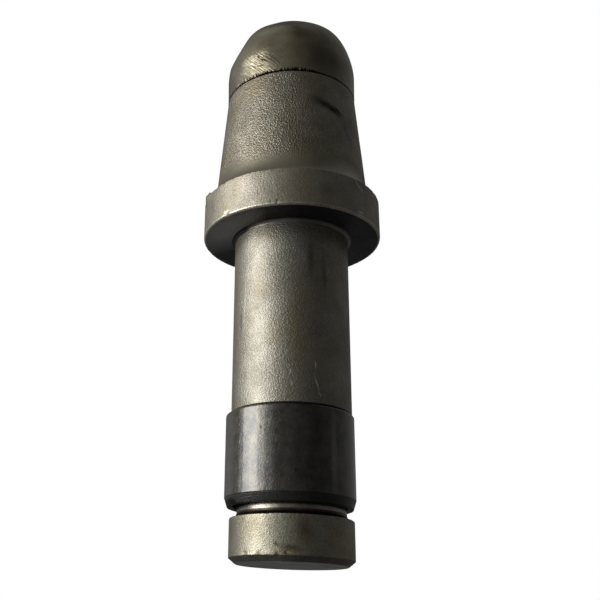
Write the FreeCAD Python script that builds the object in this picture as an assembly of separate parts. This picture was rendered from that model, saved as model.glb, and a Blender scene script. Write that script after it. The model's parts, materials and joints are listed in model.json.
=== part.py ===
import FreeCAD, Part
import math
import os

# Round-shank cutting pick, standing on its flat end.
# The Z axis is the pick's own axis and points to the nose. Z = 0 is the end face. Lengths are in mm.

# End disc, which keeps the sleeve on the neck
END_DISC_D = 30.0
END_DISC_LENGTH = 10.4
END_CHAMFER_RADIAL = 1.6
END_CHAMFER_LENGTH = 1.3
DISC_EDGE_BREAK = 0.3

# Neck, the turned groove that the sleeve sits in
NECK_D = 26.4
NECK_ROOT_FILLET = 1.4
SHOULDER_ROOT_FILLET = 0.5
SHOULDER_CHAMFER = 0.3

# Shank, which turns in the tool holder
SHANK_D = 30.0
SHANK_LENGTH = 47.6
COLLAR_SEAT_FILLET = 0.9

# Collar, which bears on the holder's face
COLLAR_D = 47.1
COLLAR_THICKNESS = 10.1
COLLAR_LOWER_ROUNDING = 0.6
COLLAR_UPPER_ROUNDING = 0.3
COLLAR_TOP_SLOPE_DEG = 28.0
COLLAR_TOP_LAND = 0.3

# Head, the forged taper above the collar
HEAD_BASE_D = 41.6
HEAD_TOP_D = 35.9
HEAD_HEIGHT = 32.8
SEAM_CHAMFER = 0.3

# Hard cap, a dome on a short skirt, with a spigot that locates it
CAP_BASE_D = 36.0
CAP_DOME_D = 36.2
CAP_SKIRT_HEIGHT = 7.2
SPIGOT_D = 16.0
SPIGOT_LENGTH = 8.0
SPIGOT_CHAMFER = 1.0
SPIGOT_ROOT_FILLET = 1.0

# Braze, the thin layer of filler between the head and the cap
BRAZE_THICKNESS = 0.2
BRAZE_RECESS = 0.45

# Retaining sleeve, rolled from spring steel strip with an open slot
SLEEVE_D = 31.8
SLEEVE_WALL = 2.0
SLEEVE_LENGTH = 22.4
SLEEVE_CHAMFER_RADIAL = 0.7
SLEEVE_CHAMFER_LENGTH = 2.2
SLEEVE_TOP_ROUNDING = 0.5
SLEEVE_BORE_BREAK = 0.25
SLEEVE_SLOT_WIDTH = 4.5
SLEEVE_SLOT_FLARE = 1.2

# Clearances
SLEEVE_TO_SHOULDER = 0.3
SLEEVE_TO_DISC = 2.6
SLEEVE_TO_NECK = 0.3

# Places that follow from the sizes
NECK_LENGTH = SLEEVE_TO_DISC + SLEEVE_LENGTH + SLEEVE_TO_SHOULDER
SLEEVE_Z = END_DISC_LENGTH + SLEEVE_TO_DISC
SHOULDER_Z = END_DISC_LENGTH + NECK_LENGTH
COLLAR_Z = SHOULDER_Z + SHANK_LENGTH
HEAD_Z = COLLAR_Z + COLLAR_THICKNESS
SEAM_Z = HEAD_Z + HEAD_HEIGHT
CAP_Z = SEAM_Z + BRAZE_THICKNESS
SLEEVE_BORE_D = SLEEVE_D - 2 * SLEEVE_WALL
SLEEVE_SHIFT = (SLEEVE_BORE_D - NECK_D) / 2 - SLEEVE_TO_NECK


def corner_reach(before, corner, after, radius):
    """How far a rounding takes up each of the two runs that meet at its corner."""
    half_angle = (before - corner).getAngle(after - corner) / 2
    return radius / math.tan(half_angle)


def tangent_arc(before, corner, after, radius):
    """Returns the start, middle and end of the arc that rounds a corner of an outline."""
    to_before = (before - corner).normalize()
    to_after = (after - corner).normalize()
    half_angle = to_before.getAngle(to_after) / 2
    inward = (to_before + to_after).normalize()
    centre = corner + inward * (radius / math.sin(half_angle))
    reach = corner_reach(before, corner, after, radius)
    return corner + to_before * reach, centre - inward * radius, corner + to_after * reach


def rounding_arcs(points, roundings):
    """The arc at each corner, or None at a sharp one. Where two roundings would meet on a run, both are made to fit."""
    count = len(points)
    around = [(points[i - 1], points[i], points[(i + 1) % count]) for i in range(count)]
    reaches = [corner_reach(*around[i], roundings[i]) for i in range(count)]
    arcs = []
    for i, (before, corner, after) in enumerate(around):
        if not roundings[i]:
            arcs.append(None)
            continue
        share_before = corner.distanceToPoint(before) / (reaches[i] + reaches[i - 1])
        share_after = corner.distanceToPoint(after) / (reaches[i] + reaches[(i + 1) % count])
        radius = roundings[i] * min(1, share_before, share_after)
        arcs.append(tangent_arc(before, corner, after, radius))
    return arcs


def revolve(corners):
    """Turns a half section about the Z axis. A corner is (radius, height) or (radius, height, rounding)."""
    points = [FreeCAD.Vector(corner[0], 0, corner[1]) for corner in corners]
    roundings = [corner[2] if len(corner) > 2 else 0 for corner in corners]
    arcs = rounding_arcs(points, roundings)
    edges = []
    for i, arc in enumerate(arcs):
        following = (i + 1) % len(points)
        leave = arc[2] if arc else points[i]
        reach = arcs[following][0] if arcs[following] else points[following]
        if arc:
            edges.append(Part.Arc(*arc).toShape())
        if leave.distanceToPoint(reach) > 1e-6:
            edges.append(Part.LineSegment(leave, reach).toShape())
    face = Part.Face(Part.Wire(edges))
    return face.revolve(FreeCAD.Vector(0, 0, 0), FreeCAD.Vector(0, 0, 1), 360)


def collar_top_corners():
    """Corners of the collar's sloping top: the rim's upper edge and the root of the head, with its blend."""
    slope = math.radians(COLLAR_TOP_SLOPE_DEG)
    head_taper = math.atan((HEAD_BASE_D - HEAD_TOP_D) / 2 / HEAD_HEIGHT)
    run = (COLLAR_D - HEAD_BASE_D) / 2 / (1 - math.tan(slope) * math.tan(head_taper))
    turn = math.pi / 2 - slope - head_taper
    blend = (run / math.cos(slope) - COLLAR_UPPER_ROUNDING - COLLAR_TOP_LAND) / math.tan(turn / 2)
    rim = (COLLAR_D / 2, HEAD_Z, COLLAR_UPPER_ROUNDING)
    root = (COLLAR_D / 2 - run, HEAD_Z + run * math.tan(slope), blend)
    return rim, root


def socket_corners(growth):
    """Half section of the cap's spigot below the seam, grown outwards by the braze's thickness or by none."""
    radius = SPIGOT_D / 2 + growth
    bottom = SEAM_Z - SPIGOT_LENGTH - growth
    return [(0, bottom), (radius - SPIGOT_CHAMFER, bottom), (radius, bottom + SPIGOT_CHAMFER)]


def socket_mouth():
    """The rounded corner between the socket's wall and the head's top face."""
    return SPIGOT_D / 2 + BRAZE_THICKNESS, SEAM_Z, SPIGOT_ROOT_FILLET - BRAZE_THICKNESS


def make_pick_body():
    """The forged and turned body: end disc, neck, shank, collar and tapered head with the cap's socket."""
    disc_r = END_DISC_D / 2
    neck_r = NECK_D / 2
    shank_r = SHANK_D / 2
    head_top_r = HEAD_TOP_D / 2
    rim, root = collar_top_corners()
    outside = [
        (0, 0),
        (disc_r - END_CHAMFER_RADIAL, 0),
        (disc_r, END_CHAMFER_LENGTH),
        (disc_r, END_DISC_LENGTH, DISC_EDGE_BREAK),
        (neck_r, END_DISC_LENGTH, NECK_ROOT_FILLET),
        (neck_r, SHOULDER_Z, SHOULDER_ROOT_FILLET),
        (shank_r - SHOULDER_CHAMFER, SHOULDER_Z),
        (shank_r, SHOULDER_Z + SHOULDER_CHAMFER),
        (shank_r, COLLAR_Z, COLLAR_SEAT_FILLET),
        (COLLAR_D / 2, COLLAR_Z, COLLAR_LOWER_ROUNDING),
        rim,
        root,
        (head_top_r, SEAM_Z - SEAM_CHAMFER),
        (head_top_r - SEAM_CHAMFER, SEAM_Z),
    ]
    socket = list(reversed(socket_corners(BRAZE_THICKNESS)))
    return revolve(outside + [socket_mouth()] + socket)


def make_domed_cap():
    """The hard cap: a half sphere on a short skirt, with the spigot that locates it in the head."""
    dome_r = CAP_DOME_D / 2
    dome_z = CAP_Z + CAP_SKIRT_HEIGHT
    return revolve([
        *socket_corners(0),
        (SPIGOT_D / 2, CAP_Z, SPIGOT_ROOT_FILLET),
        (CAP_BASE_D / 2 - SEAM_CHAMFER, CAP_Z),
        (CAP_BASE_D / 2, CAP_Z + SEAM_CHAMFER),
        (dome_r, dome_z),
        (dome_r, dome_z + dome_r, dome_r),
        (0, dome_z + dome_r),
    ])


def make_braze_layer(cap):
    """The filler: it lines the socket, covers the head's top face and stops short of the seam's edge."""
    filled = revolve([
        *socket_corners(BRAZE_THICKNESS),
        socket_mouth(),
        (HEAD_TOP_D / 2 - BRAZE_RECESS, SEAM_Z),
        (HEAD_TOP_D / 2 - BRAZE_RECESS, CAP_Z),
        (0, CAP_Z),
    ])
    return filled.cut(cap).Solids[0]


def make_retaining_sleeve():
    """The split spring sleeve, which lies a little to one side of the neck, with its slot at the back."""
    outer_r = SLEEVE_D / 2
    bore_r = SLEEVE_BORE_D / 2
    top = SLEEVE_Z + SLEEVE_LENGTH
    tube = revolve([
        (bore_r + SLEEVE_BORE_BREAK, SLEEVE_Z),
        (outer_r - SLEEVE_CHAMFER_RADIAL, SLEEVE_Z),
        (outer_r, SLEEVE_Z + SLEEVE_CHAMFER_LENGTH),
        (outer_r, top, SLEEVE_TOP_ROUNDING),
        (bore_r + SLEEVE_BORE_BREAK, top),
        (bore_r, top - SLEEVE_BORE_BREAK),
        (bore_r, SLEEVE_Z + SLEEVE_BORE_BREAK),
    ])
    sleeve = tube.cut(slot_cutter(outer_r, top)).Solids[0]
    sleeve.translate(FreeCAD.Vector(-SLEEVE_SHIFT, 0, 0))
    return sleeve


def slot_cutter(reach, top):
    """A bar across the sleeve's back wall, whose ends flare in quarter rounds so that the slot's corners are blunt."""
    half = SLEEVE_SLOT_WIDTH / 2
    flare = SLEEVE_SLOT_FLARE
    bar = Part.makeBox(2 * half, reach, SLEEVE_LENGTH, FreeCAD.Vector(-half, 0, SLEEVE_Z))
    for side in (-1, 1):
        for end, inward in ((SLEEVE_Z, 1), (top, -1)):
            corner = FreeCAD.Vector(side * half, 0, end)
            along_end = corner + FreeCAD.Vector(side * flare, 0, 0)
            along_slot = corner + FreeCAD.Vector(0, 0, inward * flare)
            centre = along_end + FreeCAD.Vector(0, 0, inward * flare)
            middle = centre + (corner - centre).normalize() * flare
            edges = [
                Part.LineSegment(corner, along_end).toShape(),
                Part.Arc(along_end, middle, along_slot).toShape(),
                Part.LineSegment(along_slot, corner).toShape(),
            ]
            wedge = Part.Face(Part.Wire(edges)).extrude(FreeCAD.Vector(0, reach, 0))
            bar = bar.fuse(wedge)
    return bar


domed_cap = make_domed_cap()
nodes = {
    "pick_body": make_pick_body(),
    "domed_cap": domed_cap,
    "braze_layer": make_braze_layer(domed_cap),
    "retaining_sleeve": make_retaining_sleeve(),
}
os.makedirs("parts", exist_ok=True)
for name, shape in nodes.items():
    shape.exportStep(f"parts/{name}.step")
    box = shape.BoundBox
    print(name, shape.ShapeType, len(shape.Solids), "solid", round(shape.Volume), "mm3",
          "z", round(box.ZMin, 2), "to", round(box.ZMax, 2), "valid", shape.isValid())
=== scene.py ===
"""Looks of a round-shank cutting pick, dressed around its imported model.

The pick stands on its flat end at the origin with its dome up. Lengths in the classes are in mm, and
Blender's own lengths are in metres. Azimuths are in degrees round the pick's axis: 0 faces the camera,
and positive angles go to the camera's left.
"""

from __future__ import annotations

import json
import logging
import math
from collections.abc import Callable, Iterable, Iterator, Sequence
from contextlib import contextmanager
from dataclasses import dataclass, field
from enum import Enum

import bmesh
import bpy
from bpy.types import Material, NodeSocket, NodeTree, Object
from mathutils import Matrix, Vector


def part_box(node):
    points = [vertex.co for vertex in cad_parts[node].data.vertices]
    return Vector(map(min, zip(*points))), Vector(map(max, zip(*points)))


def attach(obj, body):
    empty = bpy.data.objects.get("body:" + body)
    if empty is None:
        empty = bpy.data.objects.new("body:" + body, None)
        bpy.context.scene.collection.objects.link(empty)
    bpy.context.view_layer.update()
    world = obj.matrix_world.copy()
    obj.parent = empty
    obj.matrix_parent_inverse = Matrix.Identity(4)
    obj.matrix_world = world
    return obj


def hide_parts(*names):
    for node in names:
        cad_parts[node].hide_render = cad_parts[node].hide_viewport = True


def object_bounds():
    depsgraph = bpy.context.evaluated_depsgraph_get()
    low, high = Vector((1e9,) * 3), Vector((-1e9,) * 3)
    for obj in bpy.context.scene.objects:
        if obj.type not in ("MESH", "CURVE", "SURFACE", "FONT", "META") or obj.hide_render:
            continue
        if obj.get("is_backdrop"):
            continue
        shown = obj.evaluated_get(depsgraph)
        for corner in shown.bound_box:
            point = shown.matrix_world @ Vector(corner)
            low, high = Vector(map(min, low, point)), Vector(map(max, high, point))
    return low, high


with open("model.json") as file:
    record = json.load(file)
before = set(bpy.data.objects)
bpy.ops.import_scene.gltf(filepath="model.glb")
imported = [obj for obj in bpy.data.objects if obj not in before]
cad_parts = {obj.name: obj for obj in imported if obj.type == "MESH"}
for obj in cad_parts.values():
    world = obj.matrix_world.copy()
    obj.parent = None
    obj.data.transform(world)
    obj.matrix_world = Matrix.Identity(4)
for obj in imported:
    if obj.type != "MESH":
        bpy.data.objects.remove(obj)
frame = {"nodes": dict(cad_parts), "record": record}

log = logging.getLogger("pick")

Pair = tuple[float, float]

MM = 0.001
PHOTO_SIZE_PX = 600
TURN_STEPS = 480
ARC_STEP_DEG = 15.0
MERGE_MM = 0.0002
SMOOTH_DEG = 40.0
MARK_DRIFT_MM = 0.7
MARK_DRIFTS_PER_MM = 1.2

# Numbers of the Mix node's sockets, because those for values and for colours have the same names.
VALUE_A, VALUE_B = 2, 3
COLOUR_A, COLOUR_B, COLOUR_OUT = 6, 7, 2


class Slot(Enum):
    """The names of the record's material slots."""

    STEEL = "forged_steel"
    CAP = "hardened_cap"
    SPRING = "blackened_spring_steel"


class Zone(Enum):
    """Stretches of the forged body that were finished in different ways; some also carry painted light or
    shade.
    """

    END = 0
    CHAMFER = 1
    DISC = 2
    GROOVE = 3
    NECK = 4
    SHANK = 5
    FILLET = 6
    SEAT = 7
    EDGE = 8
    RIM = 9
    HEAD = 10


def linear(hex_colour: str) -> tuple[float, float, float, float]:
    """Turns an sRGB hex colour into the linear colour that a shader takes.

    Args:
        hex_colour: The colour as "#rrggbb".

    Returns:
        Red, green, blue and an alpha of 1.
    """
    channels = [int(hex_colour[i:i + 2], 16) / 255 for i in (1, 3, 5)]
    red, green, blue = (c / 12.92 if c <= 0.04045 else ((c + 0.055) / 1.055) ** 2.4 for c in channels)
    return red, green, blue, 1.0


def add_node(
    tree: NodeTree, kind: str, inputs: dict[str | int, object] | None = None, output: str | int = 0
) -> NodeSocket | None:
    """Adds one node to a tree, with its settings and its incoming links.

    Args:
        tree: The node tree to add to.
        kind: The node's type without its "ShaderNode", such as "Bump".
        inputs: Values for the node's properties by name, and for each of its input sockets, by name or
            number, a value or the output of another node.
        output: The name or number of the output to return.

    Returns:
        The output, or None from a node that has no outputs.
    """
    node = tree.nodes.new(f"ShaderNode{kind}")
    for key, value in (inputs or {}).items():
        if isinstance(value, NodeSocket):
            tree.links.new(value, node.inputs[key])
        elif isinstance(key, str) and hasattr(node, key):
            setattr(node, key, value)
        else:
            node.inputs[key].default_value = value
    return node.outputs[output] if node.outputs else None


def start_material(name: str) -> tuple[Material, NodeTree, NodeSocket]:
    """Starts a material with an empty tree.

    Args:
        name: The material's name.

    Returns:
        The material, its tree, and the object's coordinates in mm.
    """
    material = bpy.data.materials.new(name)
    material.use_nodes = True
    tree = material.node_tree
    tree.nodes.clear()
    place = add_node(tree, "TexCoord", output="Object")
    return material, tree, add_node(tree, "VectorMath", {"operation": "SCALE", 0: place, "Scale": 1 / MM})


def finish_metal(
    tree: NodeTree, colour: NodeSocket, roughness: NodeSocket, normal: NodeSocket,
    film: float, film_roughness: float,
) -> None:
    """Ends a material's tree with bare metal under a clear film of oil.

    Args:
        tree: The material's node tree.
        colour: The metal's colour.
        roughness: The metal's roughness.
        normal: The metal's normal.
        film: How much of the metal the oil covers.
        film_roughness: The oil's roughness.
    """
    shader = add_node(tree, "BsdfPrincipled", {
        "Metallic": 1.0, "Base Color": colour, "Roughness": roughness, "Normal": normal,
        "Coat Weight": film, "Coat Roughness": film_roughness,
    })
    add_node(tree, "OutputMaterial", {"Surface": shader})


def polar(azimuth_deg: float, radius: float, height: float) -> Vector:
    """Returns the point at an azimuth, a distance from the pick's axis and a height."""
    azimuth = math.radians(azimuth_deg)
    return Vector((-radius * math.sin(azimuth), -radius * math.cos(azimuth), height))


@dataclass(frozen=True)
class Corner:
    """One corner of a turned outline, in mm, and the longest step along the run after it."""

    radius: float
    height: float
    rounding: float = 0.0
    pitch: float = 2.0

    def point(self) -> Vector:
        """Returns the corner in the plane of the outline."""
        return Vector((self.radius, 0.0, self.height))


def rounded_corner(
    before: Vector, corner: Vector, after: Vector, radius: float, pitch: float
) -> list[Vector]:
    """Rounds a corner of an outline.

    Args:
        before: The corner before it.
        corner: The corner itself.
        after: The corner after it.
        radius: The rounding's radius, or 0 for a sharp corner.
        pitch: The longest step along the arc.

    Returns:
        The points of the arc, or the corner alone.
    """
    if not radius:
        return [corner]
    to_before = (before - corner).normalized()
    to_after = (after - corner).normalized()
    half_angle = to_before.angle(to_after) / 2
    reach = radius / math.tan(half_angle)
    centre = corner + (to_before + to_after).normalized() * (radius / math.sin(half_angle))
    first_spoke = corner + to_before * reach - centre
    last_spoke = corner + to_after * reach - centre
    bend = math.pi - 2 * half_angle
    steps = max(2, math.ceil(math.degrees(bend) / ARC_STEP_DEG), math.ceil(bend * radius / pitch))
    return [centre + first_spoke.slerp(last_spoke, k / steps) * radius for k in range(steps + 1)]


def outline_points(corners: Sequence[Corner], closed: bool) -> list[Vector]:
    """Works out the points of a turned outline.

    Args:
        corners: The outline's corners in order.
        closed: Whether the last corner runs back to the first.

    Returns:
        The points in mm, close enough together for each run's pitch.
    """
    count = len(corners)
    arcs = []
    for i, corner in enumerate(corners):
        open_end = not closed and i in (0, count - 1)
        radius = 0.0 if open_end else corner.rounding
        before, after = corners[i - 1].point(), corners[(i + 1) % count].point()
        arcs.append(rounded_corner(before, corner.point(), after, radius, corner.pitch))
    points: list[Vector] = []
    for i, corner in enumerate(corners):
        points += arcs[i]
        if i == count - 1 and not closed:
            break
        start, end = arcs[i][-1], arcs[(i + 1) % count][0]
        steps = math.ceil((end - start).length / corner.pitch)
        points += [start.lerp(end, k / steps) for k in range(1, steps)]
    return points


def make_active(piece: Object) -> None:
    """Selects one piece alone.

    Args:
        piece: The piece that operators then act on.
    """
    bpy.ops.object.select_all(action="DESELECT")
    piece.select_set(True)
    bpy.context.view_layer.objects.active = piece


@contextmanager
def editing(piece: Object, action: str = "DESELECT", element: str = "VERT") -> Iterator[None]:
    """Opens a piece in edit mode, and closes it again with nothing selected.

    Args:
        piece: The piece to edit.
        action: What happens to its selection first, such as "SELECT" for all of it.
        element: What is selected, "VERT" or "FACE".

    Yields:
        Nothing, with the piece open in edit mode.
    """
    make_active(piece)
    bpy.ops.object.mode_set(mode="EDIT")
    bpy.ops.mesh.select_mode(type=element)
    bpy.ops.mesh.select_all(action=action)
    yield
    bpy.ops.mesh.select_all(action="DESELECT")
    bpy.ops.object.mode_set(mode="OBJECT")


def start_chain(name: str, points: Sequence[Vector], closed: bool) -> Object:
    """Draws a chain of edges: a small plane is merged to a point, which is extruded along the outline.

    Args:
        name: The new object's name.
        points: The outline's points in mm.
        closed: Whether the chain runs back to its first point.

    Returns:
        The new object, in object mode, at the origin.
    """
    bpy.ops.object.select_all(action="DESELECT")
    bpy.ops.mesh.primitive_plane_add(size=MM)
    piece = bpy.context.object
    piece.name = piece.data.name = name
    loop = [*points, points[0]] if closed else points
    with editing(piece, "SELECT"):
        bpy.ops.mesh.merge(type="CENTER")
        bpy.ops.transform.translate(value=points[0] * MM)
        for start, end in zip(loop, loop[1:]):
            bpy.ops.mesh.extrude_region_move(TRANSFORM_OT_translate={"value": (end - start) * MM})
        if closed:
            bpy.ops.mesh.select_all(action="SELECT")
            bpy.ops.mesh.remove_doubles(threshold=MERGE_MM * MM)
    return piece


def apply_modifier(piece: Object, kind: str, **settings: object) -> None:
    """Adds a modifier to a piece with its settings, and applies it.

    Args:
        piece: The object to change.
        kind: The modifier's type, such as "SCREW".
        **settings: Values for the modifier's properties.
    """
    make_active(piece)
    modifier = piece.modifiers.new(kind.lower(), kind)
    for key, value in settings.items():
        setattr(modifier, key, value)
    bpy.ops.object.modifier_apply(modifier=modifier.name)


def turn(name: str, corners: Sequence[Corner], closed: bool) -> Object:
    """Turns an outline about the pick's axis, as a lathe does.

    Args:
        name: The new piece's name.
        corners: The outline's corners, in mm.
        closed: Whether the outline is a ring's section, which doesn't reach the axis.

    Returns:
        The turned piece, closed, with its faces outwards.
    """
    piece = start_chain(name, outline_points(corners, closed), closed)
    apply_modifier(
        piece, "SCREW", axis="Z", angle=math.tau, steps=TURN_STEPS, render_steps=TURN_STEPS,
        use_merge_vertices=True, merge_threshold=MERGE_MM * MM, use_smooth_shade=True,
    )
    with editing(piece, "SELECT"):
        bpy.ops.mesh.remove_doubles(threshold=MERGE_MM * MM)
        bpy.ops.mesh.normals_make_consistent(inside=False)
    return piece


def dress(piece: Object, materials: Iterable[Material], number_at: Callable[[Vector], int]) -> None:
    """Gives each face of a piece one of its materials, and shades it smooth, apart from its sharp edges.

    Args:
        piece: The piece to dress.
        materials: Its materials.
        number_at: Gives the number of the material for a face from the face's middle, in mm.
    """
    piece.data.materials.clear()
    for material in materials:
        piece.data.materials.append(material)
    with editing(piece, element="FACE"):
        faces_of: list[list[bmesh.types.BMFace]] = [[] for _ in piece.data.materials]
        for face in bmesh.from_edit_mesh(piece.data).faces:
            faces_of[number_at(face.calc_center_median() / MM)].append(face)
        for number, faces in enumerate(faces_of):
            bpy.ops.mesh.select_all(action="DESELECT")
            for face in faces:
                face.select_set(True)
            piece.active_material_index = number
            bpy.ops.object.material_slot_assign()
    bpy.ops.object.shade_smooth_by_angle(angle=math.radians(SMOOTH_DEG))


@dataclass(frozen=True)
class Unevenness:
    """Small irregularities in a surface, in mm: how wide, how deep, and round which circles they lie."""

    name: str
    scale: float
    depth: float
    reach: float
    circles: tuple[Pair, ...]
    threshold: float = 0.0
    softness: float = 0.2
    inward: bool = False
    octaves: int = 2

    def weight(self, point: Vector) -> float:
        """Says how strongly a point takes part.

        Args:
            point: The point, in metres.

        Returns:
            The weight, from 1 on the circles to 0 beyond their reach.
        """
        radius, height = math.hypot(point.x, point.y) / MM, point.z / MM
        nearest = min(math.hypot(radius - r, height - z) for r, z in self.circles)
        return max(0.0, 1.0 - nearest / self.reach)

    def wear(self, piece: Object) -> None:
        """Displaces a piece's surface along its normals by a cloudy pattern.

        Args:
            piece: The piece to wear.
        """
        texture = bpy.data.textures.new(self.name, "CLOUDS")
        texture.noise_scale = self.scale * MM
        texture.noise_depth = self.octaves
        if self.threshold:
            texture.use_color_ramp = True
            low, high = texture.color_ramp.elements
            low.position, high.position = self.threshold, min(1.0, self.threshold + self.softness)
            low.color, high.color = (0, 0, 0, 1), (1, 1, 1, 1)
        group = piece.vertex_groups.new(name=self.name)
        for vertex in piece.data.vertices:
            weight = self.weight(vertex.co)
            if weight > 0:
                group.add([vertex.index], weight, "REPLACE")
        apply_modifier(
            piece, "DISPLACE", texture=texture, texture_coords="LOCAL", vertex_group=group.name,
            strength=(-self.depth if self.inward else self.depth) * MM,
            mid_level=0.0 if self.inward else 0.5,
        )


@dataclass(frozen=True)
class Dent:
    """One place that was knocked in or raised, in mm. The push is outwards and upwards."""

    azimuth: float
    radius: float
    height: float
    reach: float
    push: Pair

    def make(self, piece: Object) -> None:
        """Moves the vertex nearest to the place by the push, and its neighbours less and less.

        Args:
            piece: The object to dent, which is in edit mode.
        """
        bpy.ops.mesh.select_all(action="DESELECT")
        mesh = bmesh.from_edit_mesh(piece.data)
        place = polar(self.azimuth, self.radius, self.height) * MM
        nearest = min(mesh.verts, key=lambda vertex: (vertex.co - place).length_squared)
        nearest.select_set(True)
        bmesh.update_edit_mesh(piece.data)
        outward, upward = self.push
        bpy.ops.transform.translate(
            value=polar(self.azimuth, outward, upward) * MM, use_proportional_edit=True,
            proportional_size=self.reach * MM, proportional_edit_falloff="SMOOTH",
        )


def dent_all(piece: Object, dents: Iterable[Dent]) -> None:
    """Makes a list of dents in one piece.

    Args:
        piece: The piece to dent.
        dents: The dents, in order.
    """
    with editing(piece):
        for dent in dents:
            dent.make(piece)


@dataclass(frozen=True)
class Mark:
    """A stain, smudge or scratch on a wall, or a patch of painted light or shade, as a soft ellipse in mm.

    A positive tilt leans its top to the camera's left. A strength over 1 widens the part that is quite
    covered.
    """

    azimuth: float
    radius: float
    height: float
    length: float
    width: float
    tilt: float
    colour: str
    strength: float
    roughness: float

    def mask(self, tree: NodeTree, ragged_mm: NodeSocket) -> NodeSocket:
        """Builds the mask that is 1 at the mark's middle and 0 outside it.

        Args:
            tree: The material's node tree.
            ragged_mm: Object coordinates in mm, a little disturbed, so that the mark's edge is ragged.

        Returns:
            The mask.
        """
        place = polar(self.azimuth, self.radius, self.height)
        outward = Vector((place.x, place.y, 0)).normalized()
        upward = Vector((0, 0, 1))
        along = upward * math.cos(math.radians(self.tilt))
        along += outward.cross(upward) * math.sin(math.radians(self.tilt))
        across = outward.cross(along)
        mapped = add_node(tree, "Mapping", {
            "vector_type": "TEXTURE", "Vector": ragged_mm, "Location": place,
            "Rotation": Matrix((across, outward, along)).transposed().to_euler(),
            "Scale": (self.width / 2, self.length / 2, self.length / 2),
        })
        ball = add_node(tree, "TexGradient", {"gradient_type": "SPHERICAL", "Vector": mapped}, "Fac")
        return add_node(tree, "Math", {"operation": "MULTIPLY", "use_clamp": True, 0: ball, 1: self.strength})


def add_marks(
    tree: NodeTree, in_mm: NodeSocket, marks: Sequence[Mark], colour: NodeSocket, roughness: NodeSocket
) -> tuple[NodeSocket, NodeSocket]:
    """Lays marks over a finish.

    Args:
        tree: The material's node tree.
        in_mm: Object coordinates in mm.
        marks: The marks, the lowest first.
        colour: The finish's colour so far.
        roughness: Its roughness so far.

    Returns:
        The colour and the roughness with the marks.
    """
    if not marks:
        return colour, roughness
    drifts = add_node(tree, "TexNoise", {
        "Vector": in_mm, "Scale": MARK_DRIFTS_PER_MM, "Detail": 3.0,
    }, "Color")
    centred = add_node(tree, "VectorMath", {"operation": "SUBTRACT", 0: drifts, 1: (0.5, 0.5, 0.5)})
    ragged = add_node(tree, "VectorMath", {
        "operation": "MULTIPLY_ADD", 0: centred, 1: (MARK_DRIFT_MM, MARK_DRIFT_MM, MARK_DRIFT_MM), 2: in_mm,
    })
    for mark in marks:
        mask = mark.mask(tree, ragged)
        colour = add_node(tree, "Mix", {
            "data_type": "RGBA", 0: mask, COLOUR_A: colour, COLOUR_B: linear(mark.colour),
        }, COLOUR_OUT)
        roughness = add_node(tree, "Mix", {0: mask, VALUE_A: roughness, VALUE_B: mark.roughness})
    return colour, roughness


@dataclass(frozen=True)
class Calm:
    """A stretch, in mm of height, below which the blasting's pebble has been smoothed out and gone dull."""

    low: float
    high: float
    colour: str
    roughness: float
    pebble_share: float = 0.12


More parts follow.
